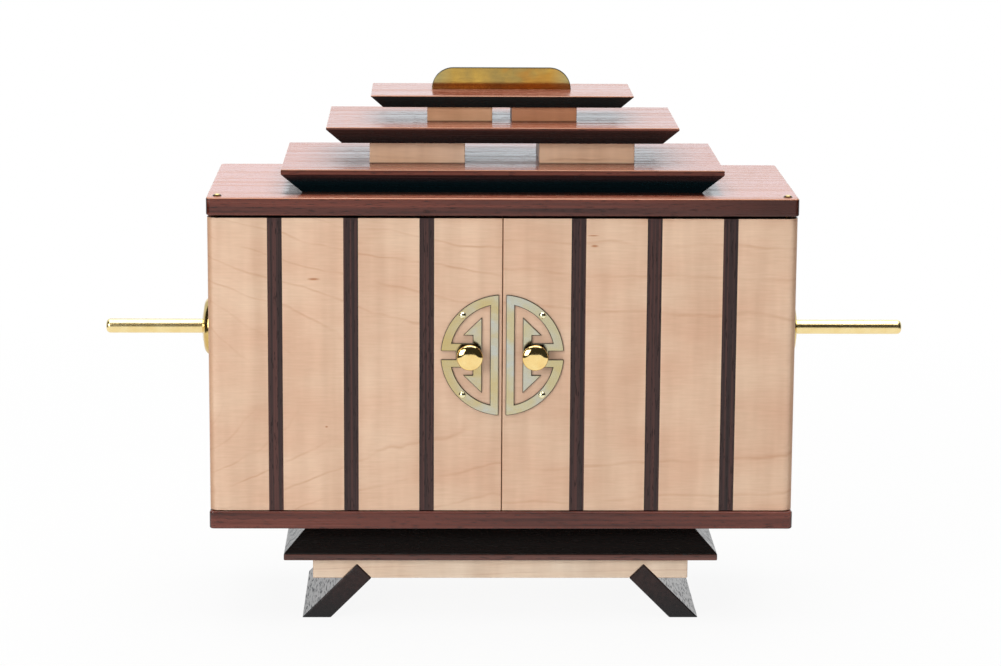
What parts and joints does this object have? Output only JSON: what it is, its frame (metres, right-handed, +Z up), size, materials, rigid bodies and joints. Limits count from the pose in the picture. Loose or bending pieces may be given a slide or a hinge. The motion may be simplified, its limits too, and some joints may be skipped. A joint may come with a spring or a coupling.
{
  "type": "wooden puzzle box",
  "caption": "Wooden puzzle box built as a small cabinet with a stepped roof, inlaid swinging doors, a split brass medallion with domed knobs and a sliding brass lock rod.",
  "frame": {"origin": "on the floor under the middle of the part's bounding box; the mirror plane of the case is X = 0 and the middle of its depth is Y = 3.5 mm", "axes": "+X to the right as seen from the doors, +Y from the doors to the back, +Z up"},
  "size_m": [0.3556, 0.109, 0.24],
  "materials": {
    "maple": "figured maple, sanded and oiled to a satin",
    "dark_hardwood": "reddish-brown hardwood with open pores, rubbed to a gloss",
    "polished_brass": "turned and polished",
    "aged_brass": "sheet brass, sawn out and left to tarnish lightly"
  },
  "bodies": {
    "case": {"lid_board": "dark_hardwood", "bottom_board": "dark_hardwood", "roof_lower_tier": "dark_hardwood", "roof_middle_tier": "dark_hardwood", "roof_upper_tier": "dark_hardwood", "plinth": "dark_hardwood", "left_foot": "dark_hardwood", "right_foot": "dark_hardwood", "back_panel": "maple", "door_stop_rail": "maple", "foot_beam": "maple", "left_side_panel": "maple", "left_lower_block": "maple", "left_upper_block": "maple", "right_side_panel": "maple", "right_lower_block": "maple", "right_upper_block": "maple", "left_top_hinge_pin": "polished_brass", "left_bottom_hinge_pin": "polished_brass", "left_rosette": "polished_brass", "right_top_hinge_pin": "polished_brass", "right_bottom_hinge_pin": "polished_brass", "right_rosette": "polished_brass", "crest_plate": "aged_brass"},
    "left_door": {"left_door_panel": "maple", "left_door_inlay_1": "dark_hardwood", "left_door_inlay_2": "dark_hardwood", "left_door_inlay_3": "dark_hardwood", "left_medallion": "aged_brass", "left_medallion_nails": "polished_brass", "left_knob": "polished_brass", "left_knob_screw": "polished_brass", "left_keeper": "polished_brass", "left_keeper_screws": "polished_brass"},
    "right_door": {"right_door_panel": "maple", "right_door_inlay_1": "dark_hardwood", "right_door_inlay_2": "dark_hardwood", "right_door_inlay_3": "dark_hardwood", "right_medallion": "aged_brass", "right_medallion_nails": "polished_brass", "right_knob": "polished_brass", "right_knob_screw": "polished_brass", "right_keeper": "polished_brass", "right_keeper_screws": "polished_brass"},
    "rod": {"lock_rod": "polished_brass", "rod_stop_pins": "polished_brass"}
  },
  "joints": [
    {"name": "left_door_hinge", "type": "hinge", "parent": "case", "child": "left_door", "pos_m": [-0.1227, -0.04207, 0.1165], "axis": [0, 0, -1], "range_deg": [0, 175]},
    {"name": "right_door_hinge", "type": "hinge", "parent": "case", "child": "right_door", "pos_m": [0.1227, -0.04207, 0.1165], "axis": [0, 0, 1], "range_deg": [0, 175]},
    {"name": "rod_slide", "type": "slide", "parent": "case", "child": "rod", "axis": [1, 0, 0], "range_m": [-0.013, 0.0088]}
  ]
}
